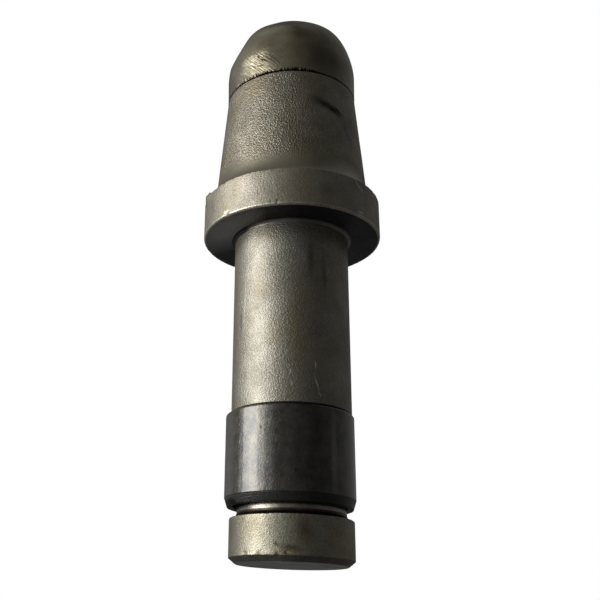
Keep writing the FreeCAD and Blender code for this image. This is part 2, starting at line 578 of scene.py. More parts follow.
@dataclass(frozen=True)
class OiledSteel:
    """Carbon steel, forged or turned, shot-blasted and wiped with oil.

    The blasting leaves a fine pebble, which breaks a highlight into sparkles. The oil darkens the hollows
    and gives the grey an olive tint. The pebble, like each size, is the distance across one grain of its
    pattern in mm, and a range is the part of the noise over which its pattern comes in.
    """

    name: str
    bright: str
    shade: str
    roughness: float
    pebble: float
    pebble_depth: float
    hollow: float = 0.4
    hollow_range: Pair = (0.6, 0.32)
    stain: float = 0.5
    stain_size: float = 6.0
    stain_range: Pair = (0.35, 0.7)
    stain_roughness: Pair = (-0.06, 0.08)
    tint: str = "#83744f"
    tinge: float = 0.32
    tint_size: float = 9.0
    tint_range: Pair = (0.48, 0.7)
    tool_marks: float = 0.0
    tool_mark_depth: float = 0.0
    film: float = 0.15
    film_roughness: float = 0.25
    calm: Calm | None = None
    marks: tuple[Mark, ...] = ()

    def make(self) -> Material:
        """Builds the material.

        Returns:
            The new material.
        """
        material, tree, in_mm = start_material(self.name)
        pebbles = add_node(tree, "TexNoise", {
            "Vector": in_mm, "Scale": 1 / self.pebble, "Detail": 1.5, "Roughness": 0.5, "Distortion": 0.3,
        })
        stains = add_node(tree, "TexNoise", {
            "Vector": in_mm, "Scale": 1 / self.stain_size, "Detail": 6.0, "Roughness": 0.6,
        })
        tints = add_node(tree, "TexNoise", {"Vector": in_mm, "Scale": 1 / self.tint_size, "Detail": 2.0})
        stained, hollowed, tinted = (
            add_node(tree, "MapRange", {"Value": noise, "From Min": start, "From Max": end, "To Max": most})
            for noise, (start, end), most in (
                (stains, self.stain_range, self.stain),
                (pebbles, self.hollow_range, self.hollow),
                (tints, self.tint_range, self.tinge),
            )
        )
        darkness = add_node(tree, "Math", {"operation": "ADD", "use_clamp": True, 0: stained, 1: hollowed})
        colour: NodeSocket | tuple[float, ...] = linear(self.bright)
        for share, over in ((darkness, self.shade), (tinted, self.tint)):
            colour = add_node(tree, "Mix", {
                "data_type": "RGBA", 0: share, COLOUR_A: colour, COLOUR_B: linear(over),
            }, COLOUR_OUT)
        smoothest, roughest = (self.roughness + change for change in self.stain_roughness)
        roughness = add_node(tree, "MapRange", {"Value": stains, "To Min": smoothest, "To Max": roughest})
        if self.calm:
            height = add_node(tree, "SeparateXYZ", {0: in_mm}, "Z")
            lively = add_node(tree, "MapRange", {
                "interpolation_type": "SMOOTHSTEP", "Value": height,
                "From Min": self.calm.low, "From Max": self.calm.high,
            })
            colour = add_node(tree, "Mix", {
                "data_type": "RGBA", 0: lively, COLOUR_A: linear(self.calm.colour), COLOUR_B: colour,
            }, COLOUR_OUT)
            roughness = add_node(tree, "Mix", {0: lively, VALUE_A: self.calm.roughness, VALUE_B: roughness})
            share = add_node(tree, "MapRange", {"Value": lively, "To Min": self.calm.pebble_share})
            pebbles = add_node(tree, "Math", {"operation": "MULTIPLY", 0: pebbles, 1: share})
        colour, roughness = add_marks(tree, in_mm, self.marks, colour, roughness)
        normal = add_node(tree, "Bump", {"Distance": self.pebble_depth * MM, "Height": pebbles})
        if self.tool_marks:
            normal = self.add_tool_marks(tree, in_mm, normal)
        finish_metal(tree, colour, roughness, normal, self.film, self.film_roughness)
        return material

    def add_tool_marks(self, tree: NodeTree, in_mm: NodeSocket, normal: NodeSocket) -> NodeSocket:
        """Adds the fine rings that a turning tool leaves round the axis.

        Args:
            tree: The material's node tree.
            in_mm: Object coordinates in mm.
            normal: The normal so far.

        Returns:
            The normal with the rings.
        """
        flat = add_node(tree, "VectorMath", {"operation": "MULTIPLY", 0: in_mm, 1: (1, 1, 0)})
        radius = add_node(tree, "VectorMath", {"operation": "LENGTH", 0: flat}, "Value")
        height = add_node(tree, "SeparateXYZ", {0: in_mm}, "Z")
        rings = add_node(tree, "TexNoise", {
            "noise_dimensions": "2D", "Scale": 1 / self.tool_marks, "Detail": 3.0,
            "Vector": add_node(tree, "CombineXYZ", {0: radius, 1: height}),
        })
        return add_node(tree, "Bump", {
            "Distance": self.tool_mark_depth * MM, "Height": rings, "Normal": normal,
        })


@dataclass(frozen=True)
class HardCapAlloy:
    """Hard alloy steel, pressed and ground smooth, then oiled.

    The smooth dome shows a soft highlight. Fine ribs rise from its lower edge, where it was faired in to the
    seam, and burnt flux fills that edge with black teeth. The flux was cleaned off on the +X side, and less
    of it was left far out on the other. The real ribs are about half as wide, and are drawn coarser to show.
    """

    foot: float
    wall_r: float
    name: str = "hard cap alloy, ground and oiled"
    bright: str = "#a19a82"
    shade: str = "#7c745d"
    soot: str = "#090807"
    stain_size: float = 6.0
    stain_range: Pair = (0.35, 0.68)
    roughness: Pair = (0.21, 0.29)
    pebble: float = 0.5
    pebble_depth: float = 0.06
    rib: float = 0.46
    rib_depth: float = 0.36
    rib_stretch: float = 8.0
    rib_lean: float = 0.05
    rib_reach: float = 9.0
    rib_side: Pair = (-1.0, -9.0)
    rib_least: float = 0.2
    tooth: float = 0.3
    tooth_range: Pair = (0.42, 0.58)
    tooth_length: Pair = (0.12, 0.95)
    tooth_edge: Pair = (-0.05, 0.1)
    clean_side: Pair = (9.0, 3.0)
    clean_least: float = 0.2
    thin_side: Pair = (-15.5, -11.0)
    thin_least: float = 0.75
    film: float = 0.15
    film_roughness: float = 0.2
    marks: tuple[Mark, ...] = ()

    def make(self) -> Material:
        """Builds the material.

        Returns:
            The new material.
        """
        material, tree, in_mm = start_material(self.name)
        stains = add_node(tree, "TexNoise", {
            "Vector": in_mm, "Scale": 1 / self.stain_size, "Detail": 6.0, "Roughness": 0.6,
        })
        stained = add_node(tree, "MapRange", {
            "Value": stains, "From Min": self.stain_range[0], "From Max": self.stain_range[1],
        })
        colour = add_node(tree, "Mix", {
            "data_type": "RGBA", 0: stained, COLOUR_A: linear(self.bright), COLOUR_B: linear(self.shade),
        }, COLOUR_OUT)
        roughness = add_node(tree, "MapRange", {
            "Value": stains, "To Min": self.roughness[0], "To Max": self.roughness[1],
        })
        colour, roughness = add_marks(tree, in_mm, self.marks, colour, roughness)
        round_wall = self.round_the_wall(tree, in_mm)
        colour = add_node(tree, "Mix", {
            "data_type": "RGBA", 0: self.teeth(tree, in_mm, round_wall), COLOUR_A: colour,
            COLOUR_B: linear(self.soot),
        }, COLOUR_OUT)
        normal = self.ribs(tree, in_mm, round_wall)
        finish_metal(tree, colour, roughness, normal, self.film, self.film_roughness)
        return material

    def round_the_wall(self, tree: NodeTree, in_mm: NodeSocket) -> NodeSocket:
        """Projects each point straight out to a ring as wide as the wall, so that a pattern runs up the dome.

        Args:
            tree: The material's node tree.
            in_mm: Object coordinates in mm.

        Returns:
            The point's place on the ring.
        """
        flat = add_node(tree, "VectorMath", {"operation": "MULTIPLY", 0: in_mm, 1: (1, 1, 0)})
        spoke = add_node(tree, "VectorMath", {"operation": "NORMALIZE", 0: flat})
        return add_node(tree, "VectorMath", {"operation": "SCALE", 0: spoke, "Scale": self.wall_r})

    def teeth(self, tree: NodeTree, in_mm: NodeSocket, round_wall: NodeSocket) -> NodeSocket:
        """Builds the mask of the burnt flux: teeth of uneven height along the cap's lower edge.

        Args:
            tree: The material's node tree.
            in_mm: Object coordinates in mm.
            round_wall: The point's place round the wall.

        Returns:
            The mask.
        """
        axes = add_node(tree, "SeparateXYZ", {0: in_mm}).node.outputs
        bites = add_node(tree, "TexNoise", {"Vector": round_wall, "Scale": 1 / self.tooth, "Detail": 2.0})
        length = add_node(tree, "MapRange", {
            "Value": bites, "From Min": self.tooth_range[0], "From Max": self.tooth_range[1],
            "To Min": self.tooth_length[0], "To Max": self.tooth_length[1],
        })
        sides = (self.thin_side, self.thin_least), (self.clean_side, self.clean_least)
        left, right = (
            add_node(tree, "MapRange", {
                "Value": axes["X"], "From Min": start, "From Max": end, "To Min": least,
            })
            for (start, end), least in sides
        )
        dirty = add_node(tree, "Math", {"operation": "MINIMUM", 0: left, 1: right})
        kept = add_node(tree, "Math", {"operation": "MULTIPLY", 0: length, 1: dirty})
        above = add_node(tree, "Math", {"operation": "SUBTRACT", 0: axes["Z"], 1: self.foot})
        return add_node(tree, "MapRange", {
            "Value": add_node(tree, "Math", {"operation": "SUBTRACT", 0: kept, 1: above}),
            "From Min": self.tooth_edge[0], "From Max": self.tooth_edge[1],
        })

    def ribs(self, tree: NodeTree, in_mm: NodeSocket, round_wall: NodeSocket) -> NodeSocket:
        """Builds the normal: ribs that fade up the dome and towards +X, over a faint pebble.

        Args:
            tree: The material's node tree.
            in_mm: Object coordinates in mm.
            round_wall: The point's place round the wall.

        Returns:
            The normal.
        """
        axes = add_node(tree, "SeparateXYZ", {0: in_mm}).node.outputs
        lean = add_node(tree, "Math", {
            "operation": "MULTIPLY_ADD", 0: axes["Z"], 1: self.rib_lean, 2: -self.rib_lean * self.foot,
        })
        leant = add_node(tree, "VectorRotate", {
            "rotation_type": "Z_AXIS", "Vector": round_wall, "Angle": lean,
        })
        rise = add_node(tree, "CombineXYZ", {2: axes["Z"]})
        stretched = add_node(tree, "VectorMath", {
            "operation": "SCALE", 0: rise, "Scale": 1 / self.rib_stretch,
        })
        ribs = add_node(tree, "TexNoise", {
            "Vector": add_node(tree, "VectorMath", {"operation": "ADD", 0: leant, 1: stretched}),
            "Scale": 1 / self.rib, "Detail": 2.0, "Distortion": 0.4,
        })
        fade = add_node(tree, "MapRange", {
            "Value": axes["Z"], "From Min": self.foot + self.rib_reach, "From Max": self.foot,
        })
        rough_side = add_node(tree, "MapRange", {
            "Value": axes["X"], "From Min": self.rib_side[0], "From Max": self.rib_side[1],
            "To Min": self.rib_least,
        })
        share = add_node(tree, "Math", {"operation": "MULTIPLY", 0: fade, 1: rough_side})
        raised = add_node(tree, "Math", {"operation": "MULTIPLY", 0: ribs, 1: share})
        ribbed = add_node(tree, "Bump", {"Distance": self.rib_depth * MM, "Height": raised})
        pebbles = add_node(tree, "TexNoise", {"Vector": in_mm, "Scale": 1 / self.pebble, "Detail": 2.0})
        return add_node(tree, "Bump", {
            "Distance": self.pebble_depth * MM, "Height": pebbles, "Normal": ribbed,
        })


@dataclass(frozen=True)
class SootedBraze:
    """Brass filler metal, melted into the seam and left dull and dark with burnt flux and oil."""

    name: str = "braze filler, dark with burnt flux"
    metal: str = "#3a3022"
    soot: str = "#0a0908"
    speck: float = 0.9
    speck_range: Pair = (0.66, 0.5)
    metallic: float = 0.6
    roughness: float = 0.7

    def make(self) -> Material:
        """Builds the material.

        Returns:
            The new material.
        """
        material, tree, in_mm = start_material(self.name)
        specks = add_node(tree, "TexNoise", {"Vector": in_mm, "Scale": 1 / self.speck, "Detail": 3.0})
        share = add_node(tree, "MapRange", {
            "Value": specks, "From Min": self.speck_range[0], "From Max": self.speck_range[1],
        })
        colour = add_node(tree, "Mix", {
            "data_type": "RGBA", 0: share, COLOUR_A: linear(self.metal), COLOUR_B: linear(self.soot),
        }, COLOUR_OUT)
        shader = add_node(tree, "BsdfPrincipled", {
            "Metallic": self.metallic, "Roughness": self.roughness, "Base Color": colour,
        })
        add_node(tree, "OutputMaterial", {"Surface": shader})
        return material


@dataclass(frozen=True)
class BlackOxideSteel:
    """Spring steel strip, rolled smooth, blackened in a hot salt bath and oiled.

    The black is glossy, so it mirrors the window as one clear band, and fine mottling shows in that band.
    The real mottling is finer than the render can show, so it is drawn half a millimetre across.
    """

    name: str
    black: str = "#373737"
    cloud: str = "#5a564c"
    cloud_size: float = 2.5
    cloud_range: Pair = (0.36, 0.66)
    roughness: float = 0.155
    rough_range: Pair = (0.35, 0.65)
    rough_change: Pair = (-0.03, 0.12)
    mottle: float = 0.5
    mottle_depth: float = 0.075
    film: float = 1.0
    film_roughness: float = 0.12
    marks: tuple[Mark, ...] = ()

    def make(self) -> Material:
        """Builds the material.

        Returns:
            The new material.
        """
        material, tree, in_mm = start_material(self.name)
        clouds = add_node(tree, "TexNoise", {
            "Vector": in_mm, "Scale": 1 / self.cloud_size, "Detail": 8.0, "Roughness": 0.7,
        })
        share = add_node(tree, "MapRange", {
            "Value": clouds, "From Min": self.cloud_range[0], "From Max": self.cloud_range[1],
        })
        colour = add_node(tree, "Mix", {
            "data_type": "RGBA", 0: share, COLOUR_A: linear(self.black), COLOUR_B: linear(self.cloud),
        }, COLOUR_OUT)
        smoothest, roughest = (self.roughness + change for change in self.rough_change)
        roughness = add_node(tree, "MapRange", {
            "Value": clouds, "From Min": self.rough_range[0], "From Max": self.rough_range[1],
            "To Min": smoothest, "To Max": roughest,
        })
        colour, roughness = add_marks(tree, in_mm, self.marks, colour, roughness)
        mottles = add_node(tree, "TexNoise", {"Vector": in_mm, "Scale": 1 / self.mottle, "Detail": 2.0})
        normal = add_node(tree, "Bump", {"Distance": self.mottle_depth * MM, "Height": mottles})
        finish_metal(tree, colour, roughness, normal, self.film, self.film_roughness)
        return material


# The numbers of a mark are its azimuth, distance from the axis, height, length, width, tilt, strength and
# roughness, with its colour before the last two.
HEAD_SMUDGES_AND_PAINTED_LIGHT = (
    Mark(-27, 18.8, 116.4, 9.5, 4.0, 66, "#37332a", 1.0, 0.5),
    Mark(-36, 18.9, 115.3, 8.5, 2.8, 62, "#1d1b16", 1.2, 0.5),
    Mark(-41, 19.0, 115.6, 5.0, 1.6, 56, "#1d1b16", 1.2, 0.5),
    Mark(-50, 19.5, 109.5, 9.0, 3.5, 30, "#3a352c", 0.5, 0.5),
    # Painted reflection: lightens the right side of the head's root.
    Mark(-50, 21.4, 96.0, 10.0, 28.0, 0, "#bfbaaa", 1.2, 0.5),
    # Painted shade: darkens the left side of the head's root.
    Mark(58, 21.6, 97.5, 12.0, 26.0, 0, "#5f5a4e", 1.0, 0.68),
)
SEAT_PAINTED_LIGHT = (
    # Painted light: lightens the left side of the collar's underside.
    Mark(64, 19.5, 83.3, 18.0, 38.0, 0, "#b2b0ae", 1.3, 0.5),
)
SLEEVE_CHAMFER_PAINTED_SHADE = (
    # Painted shade: a black patch on the left of the sleeve's chamfer, standing for the shade in the gap
    # below it.
    Mark(76, 15.4, 13.0, 3.6, 18.0, 0, "#060606", 3.0, 0.6),
)
CAP_STREAKS_PAINTED_HIGHLIGHT_AND_SHADE = (
    # Painted shade: darkens the right side of the dome.
    Mark(-38, 18.0, 131.5, 18.0, 22.0, 0, "#504a3e", 0.9, 0.25),
    # Painted shade: dims the right end of the dome's highlight.
    Mark(16, 18.0, 130.6, 11.0, 7.0, 20, "#645d4f", 1.0, 0.36),
    # Painted highlight, where the window's reflection lies on the dome.
    Mark(45, 18.0, 129.8, 9.0, 12.0, 25, "#c4bda9", 0.6, 0.25),
    Mark(29.5, 18.0, 132.4, 1.8, 0.8, 60, "#1f1b15", 1.6, 0.4),
    Mark(24.5, 18.0, 131.0, 4.6, 0.6, 56, "#2a251d", 1.5, 0.4),
    Mark(28.0, 18.0, 129.3, 2.8, 0.5, 78, "#2a251d", 1.3, 0.4),
)
FILLET_PAINTED_SHADE = (
    # Painted shade: darkens the left of the fillet under the collar.
    Mark(72, 15.2, 82.9, 9.0, 27.0, 0, "#2b2a28", 2.0, 0.5),
)
RIM_MARKS = (
    Mark(44, 23.5, 84.6, 1.2, 3.0, 0, "#d8d2c2", 0.6, 0.3),
    Mark(-22, 23.5, 88.0, 6.0, 5.0, 20, "#6d5f4a", 0.6, 0.45),
    Mark(60, 23.5, 88.0, 7.0, 3.0, 10, "#7b6c5e", 0.5, 0.45),
    Mark(-46, 23.5, 92.0, 5.0, 0.4, 48, "#dcd7ca", 1.2, 0.35),
    Mark(-50, 23.5, 91.4, 3.6, 0.35, 42, "#dcd7ca", 1.0, 0.35),
    Mark(-69, 23.5, 86.6, 1.3, 1.0, 0, "#26231e", 1.5, 0.5),
    Mark(-48, 23.5, 84.5, 0.7, 3.0, 0, "#dcd7ca", 1.0, 0.3),
    Mark(8.4, 23.5, 84.5, 0.9, 0.8, 20, "#2c2823", 1.3, 0.5),
    Mark(12.6, 23.5, 84.4, 0.6, 0.6, 0, "#2c2823", 1.2, 0.5),
    Mark(10.8, 23.5, 89.0, 7.0, 0.5, 2, "#c9c3b4", 0.5, 0.35),
    Mark(9.4, 23.5, 87.6, 4.0, 0.4, -2, "#c9c3b4", 0.4, 0.35),
)
DISC_MARKS = (
    Mark(20, 15.0, 2.1, 3.2, 1.2, 88, "#cfc9b8", 0.4, 0.32),
    Mark(38, 15.0, 1.6, 6.0, 0.6, 88, "#cfc9b8", 0.5, 0.32),
    Mark(-11, 15.0, 7.0, 7.0, 5.0, 10, "#5d4c3d", 0.8, 0.42),
    Mark(1, 15.0, 3.0, 7.0, 1.8, 84, "#3f342a", 0.8, 0.5),
    Mark(13, 15.0, 3.6, 2.0, 1.4, 40, "#3f342a", 0.9, 0.5),
    Mark(5, 15.0, 1.9, 1.4, 1.2, 20, "#2f281f", 1.2, 0.5),
    Mark(8, 15.0, 2.2, 9.0, 2.0, 86, "#877750", 0.4, 0.36),
    Mark(2, 15.0, 1.9, 1.6, 0.5, 70, "#d8c890", 1.2, 0.3),
    Mark(12, 15.0, 2.6, 1.4, 0.5, 30, "#d8c890", 1.0, 0.3),
)
SHANK_MARKS = (
    Mark(-19, 15.0, 73.0, 13.0, 2.4, 0, "#3a372f", 0.7, 0.5),
    Mark(-33, 15.0, 70.0, 14.0, 2.0, 2, "#3a372f", 0.5, 0.5),
    Mark(51, 15.0, 62.0, 16.0, 0.9, -2, "#c4bfb0", 0.5, 0.4),
    Mark(57, 15.0, 58.0, 12.0, 1.6, 2, "#4f4b42", 0.6, 0.5),
    Mark(-6, 15.0, 52.0, 22.0, 6.0, 4, "#8a7a55", 0.6, 0.42),
    Mark(0.6, 15.0, 43.2, 1.8, 0.45, 4, "#e2ddd0", 1.4, 0.3),
    Mark(-0.4, 15.0, 40.4, 2.0, 0.5, -6, "#e2ddd0", 1.4, 0.3),
    Mark(-22.5, 15.0, 45.2, 3.0, 0.45, 4, "#e2ddd0", 1.4, 0.3),
    Mark(-24.0, 15.0, 40.6, 4.2, 0.5, 16, "#e2ddd0", 1.4, 0.3),
    Mark(-26.5, 15.0, 38.2, 1.6, 0.4, 30, "#e2ddd0", 1.2, 0.3),
)
SLEEVE_SPOTS_AND_PAINTED_REFLECTION = (
    Mark(28, 15.9, 31.5, 5.0, 1.6, 10, "#7c776c", 0.6, 0.4),
    Mark(26, 15.9, 29.9, 1.6, 0.8, 15, "#1b1a18", 1.2, 0.5),
    Mark(33, 15.9, 27.0, 4.5, 2.2, -10, "#6f6b62", 0.5, 0.35),
    Mark(-3.6, 15.9, 19.8, 1.0, 0.8, 0, "#0a0a0a", 2.0, 0.6),
    Mark(-38, 15.9, 23.4, 2.0, 1.0, 30, "#7b776e", 0.9, 0.4),
    Mark(70, 15.9, 22.0, 4.5, 3.0, 20, "#8f8a80", 0.6, 0.35),
    # Painted reflection: a faint second window down the sleeve's right side.
    Mark(-39, 15.9, 24.5, 26.0, 2.6, 0, "#8a8a8a", 0.6, 0.25),
)


@dataclass
class PickBody:
    """The forging: end disc, neck, shank, collar and tapered head, with the socket for the cap."""

    disc_r: float = 15.0
    chamfer_radial: float = 1.6
    chamfer_height: float = 1.3
    disc_worn_foot: float = 2.4
    disc_worn_top: float = 0.8
    neck_r: float = 13.2
    neck_root: float = 1.4
    sleeve_to_disc: float = 2.6
    sleeve_to_shoulder: float = 0.3
    shoulder_chamfer: float = 0.3
    shank_r: float = 15.0
    seat_fillet: float = 0.9
    lower_rounding: float = 0.62
    collar_thickness: float = 10.1
    collar_slope_deg: float = 28.0
    straight_slope: float = 0.6
    head_base_r: float = 20.8
    head_top_r: float = 17.95
    seam_chamfer: float = 0.2
    spigot_r: float = 8.0
    spigot_length: float = 8.0
    spigot_chamfer: float = 1.0
    braze: float = 0.2
    calm_from: float = 3.0
    calm_to: float = 9.0
    zone_lap: float = 0.1
    chamfer_lap: float = 0.02
    disc_lap: float = 0.01
    fillet_lap: float = 0.3
    disc_top: float = field(init=False)
    shoulder_height: float = field(init=False)
    collar_r: float = field(init=False)
    seat_height: float = field(init=False)
    seam_height: float = field(init=False)

    def __post_init__(self) -> None:
        """Takes the collar's radius and the main heights from the frame."""
        low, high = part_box("pick_body")
        sleeve_low, sleeve_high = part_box("retaining_sleeve")
        self.disc_top = sleeve_low.z / MM - self.sleeve_to_disc
        self.shoulder_height = sleeve_high.z / MM + self.sleeve_to_shoulder
        self.collar_r = (high.x - low.x) / 2 / MM
        self.seam_height = high.z / MM
        mounts = {mount["name"]: mount for mount in frame["record"]["mounts"]}
        self.seat_height = mounts["collar_seat"]["pos_m"][2] / MM

    @property
    def collar_top(self) -> float:
        """The height of the collar's upper edge."""
        return self.seat_height + self.collar_thickness

    def head_root(self) -> tuple[Corner, Corner]:
        """Works out the collar's upper edge and the root of the head, where the slope blends into the taper.

        Returns:
            The two corners.
        """
        slope = math.radians(self.collar_slope_deg)
        taper = math.atan((self.head_base_r - self.head_top_r) / (self.seam_height - self.collar_top))
        run = (self.collar_r - self.head_base_r) / (1 - math.tan(slope) * math.tan(taper))
        bend = math.pi / 2 - slope - taper
        blend = (run / math.cos(slope) - self.straight_slope) / math.tan(bend / 2)
        edge = Corner(self.collar_r, self.collar_top, 0.3, 0.3)
        return edge, Corner(self.collar_r - run, self.collar_top + run * math.tan(slope), blend, 0.9)

    def corners(self) -> list[Corner]:
        """Lists the corners of the body's outline, with finer steps where its edges are worn and dented.

        Returns:
            The corners, from the middle of the flat end to the middle of the socket's bottom.
        """
        socket_r = self.spigot_r + self.braze
        socket_bottom = self.seam_height - self.spigot_length - self.braze
        return [
            Corner(0, 0, 0, 4.5),
            Corner(self.disc_r - self.chamfer_radial, 0, 0.25, 0.5),
            Corner(self.disc_r, self.chamfer_height, 0.25, 0.4),
            Corner(self.disc_r, self.chamfer_height + self.disc_worn_foot, 0, 1.0),
            Corner(self.disc_r, self.disc_top - self.disc_worn_top, 0, 0.4),
            Corner(self.disc_r, self.disc_top, 0.3),
            Corner(self.neck_r, self.disc_top, self.neck_root, 3.0),
            Corner(self.neck_r, self.shoulder_height, 0.5),
            Corner(self.shank_r - self.shoulder_chamfer, self.shoulder_height, 0.08),
            Corner(self.shank_r, self.shoulder_height + self.shoulder_chamfer, 0.08, 1.5),
            Corner(self.shank_r, self.seat_height, self.seat_fillet, 1.6),
            Corner(self.collar_r, self.seat_height, self.lower_rounding, 0.4),
            *self.head_root(),
            Corner(self.head_top_r, self.seam_height - self.seam_chamfer, 0.08),
            Corner(self.head_top_r - self.seam_chamfer, self.seam_height, 0.08, 6.0),
            Corner(socket_r, self.seam_height, 0.8, 4.0),
            Corner(socket_r, socket_bottom + self.spigot_chamfer),
            Corner(socket_r - self.spigot_chamfer, socket_bottom, 0, 8.0),
            Corner(0, socket_bottom),
        ]

    def zone_number(self, place: Vector) -> int:
        """Says which finish a place on the body has. A lap shifts a zone's end past an edge or short of it.

        Args:
            place: The place, in mm.

        Returns:
            The zone's number.
        """
        radius, height = math.hypot(place.x, place.y), place.z
        fillet_r = self.shank_r + self.seat_fillet
        tests = (
            (Zone.END, height < self.zone_lap),
            (Zone.CHAMFER, height < self.chamfer_height - self.chamfer_lap),
            (Zone.DISC, height < self.disc_top + self.disc_lap and radius > self.neck_r + self.neck_root),
            (Zone.GROOVE, height < self.disc_top + self.neck_root),
            (Zone.NECK, height < self.shoulder_height + self.zone_lap),
            (Zone.SHANK, height < self.seat_height - self.seat_fillet),
            (Zone.FILLET, height < self.seat_height + self.fillet_lap and radius < fillet_r),
            (Zone.SEAT, height < self.collar_top and radius < self.collar_r - self.lower_rounding),
            (Zone.EDGE, height < self.seat_height + self.lower_rounding),
            (Zone.RIM, height < self.collar_top - self.zone_lap),
            (Zone.HEAD, True),
        )
        return next(zone.value for zone, here in tests if here)

    def finishes(self) -> dict[Zone, OiledSteel]:
        """Lists the finish of each zone.

        Returns:
            The finishes by zone, each with its colours, roughness, and its pebble's width and depth in mm.
        """
        calm = Calm(
            low=self.collar_top + self.calm_from, high=self.collar_top + self.calm_to,
            colour="#7d7869", roughness=0.68,
        )
        return {
            # Painted light: the flat end, which faces down, is drawn much lighter than the other steel.
            Zone.END: OiledSteel(
                "flat end's parted steel, lightened with painted light", "#dddcd8", "#96948f", 0.45, 0.4, 0.08,
                stain=0.8, tinge=0.0, tool_marks=0.5, tool_mark_depth=0.03),
            Zone.CHAMFER: OiledSteel(
                "dark turned chamfer of the end disc", "#807b6f", "#46433c", 0.45, 0.45, 0.05,
                tool_marks=0.4, tool_mark_depth=0.02),
            Zone.DISC: OiledSteel(
                "blasted steel of the end disc", "#a7a393", "#6b6552", 0.41, 0.37, 0.065, marks=DISC_MARKS),
            # Painted shade: the neck's root, in the crease under the sleeve, is drawn dark.
            Zone.GROOVE: OiledSteel(
                "turned steel of the neck's root, tinted by heat", "#4f4a42", "#302b25", 0.33, 0.5, 0.02,
                tool_marks=0.35, tool_mark_depth=0.01),
            Zone.NECK: OiledSteel(
                "turned steel of the neck", "#a8a397", "#6a6356", 0.22, 0.5, 0.02,
                tool_marks=0.35, tool_mark_depth=0.01),
            Zone.SHANK: OiledSteel(
                "blasted steel of the shank", "#9b978b", "#6d685b", 0.45, 0.4, 0.12, marks=SHANK_MARKS),
            Zone.FILLET: OiledSteel(
                "fillet under the collar, with painted shade", "#85837c", "#5c5a53", 0.4, 0.5, 0.03,
                tinge=0.0, marks=FILLET_PAINTED_SHADE),
            # Painted shade: the collar's underside is drawn near-black.
            Zone.SEAT: OiledSteel(
                "steel under the collar, darkened with painted shade", "#46464d", "#2c2c32", 0.5, 0.5, 0.03,
                tinge=0.0, marks=SEAT_PAINTED_LIGHT),
            # Painted highlight: the collar's lower edge is drawn as a bright line.
            Zone.EDGE: OiledSteel(
                "steel of the collar's lower edge, rubbed bright", "#c8c2b4", "#968f80", 0.42, 0.5, 0.05),
            Zone.RIM: OiledSteel(
                "blasted steel of the collar", "#9f998c", "#746e60", 0.49, 0.4, 0.09, marks=RIM_MARKS),
            Zone.HEAD: OiledSteel(
                "pebbled steel of the head, smooth at its root", "#9a9485", "#655e50", 0.4, 0.38, 0.27,
                calm=calm, marks=HEAD_SMUDGES_AND_PAINTED_LIGHT),
        }

    def dents(self) -> list[Dent]:
        """Lists the knocks that show on the collar's and the end disc's edges.

        Returns:
            The dents.
        """
        upper, lower = self.collar_top, self.seat_height
        disc_edge = self.chamfer_height
        return [
            Dent(71, self.collar_r, upper, 3.2, (0.45, 0.5)),
            Dent(66, self.collar_r, upper, 1.3, (0.15, 0.45)),
            Dent(57, self.collar_r, upper, 0.7, (-0.1, -0.15)),
            Dent(47, self.collar_r, upper, 0.6, (-0.12, -0.12)),
            Dent(8.4, self.collar_r, lower + 0.5, 0.5, (-0.15, 0.05)),
            Dent(44.4, self.collar_r, lower + 0.5, 1.4, (-0.2, 0.2)),
            Dent(-28, self.collar_r, lower + 0.3, 0.8, (-0.15, 0.15)),
            Dent(45, self.disc_r, disc_edge, 1.4, (-0.15, 0.1)),
            Dent(12, self.disc_r, disc_edge - 0.3, 0.8, (-0.2, 0.1)),
            Dent(29, self.disc_r, disc_edge, 1.2, (-0.12, 0.1)),
        ]

    def build(self) -> Object:
        """Turns the body, wears its edges and dresses it.

        Returns:
            The finished piece.
        """
        piece = turn("worn_pick_body", self.corners(), closed=False)
        head_middle = (self.head_base_r + self.head_top_r) / 2, (self.collar_top + self.seam_height) / 2
        Unevenness("forging waves", scale=9.0, depth=0.16, reach=22.0, circles=(head_middle,)).wear(piece)
        edges = (
            (self.collar_r, self.seat_height), (self.collar_r, self.collar_top), (self.disc_r, self.disc_top),
        )
        Unevenness(
            "worn edges", scale=1.1, depth=0.08, reach=0.8, circles=edges, threshold=0.5, inward=True
        ).wear(piece)
        dent_all(piece, self.dents())
        finishes = self.finishes()
        dress(piece, [finishes[zone].make() for zone in Zone], self.zone_number)
        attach(piece, "pick")
        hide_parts("pick_body")
        return piece


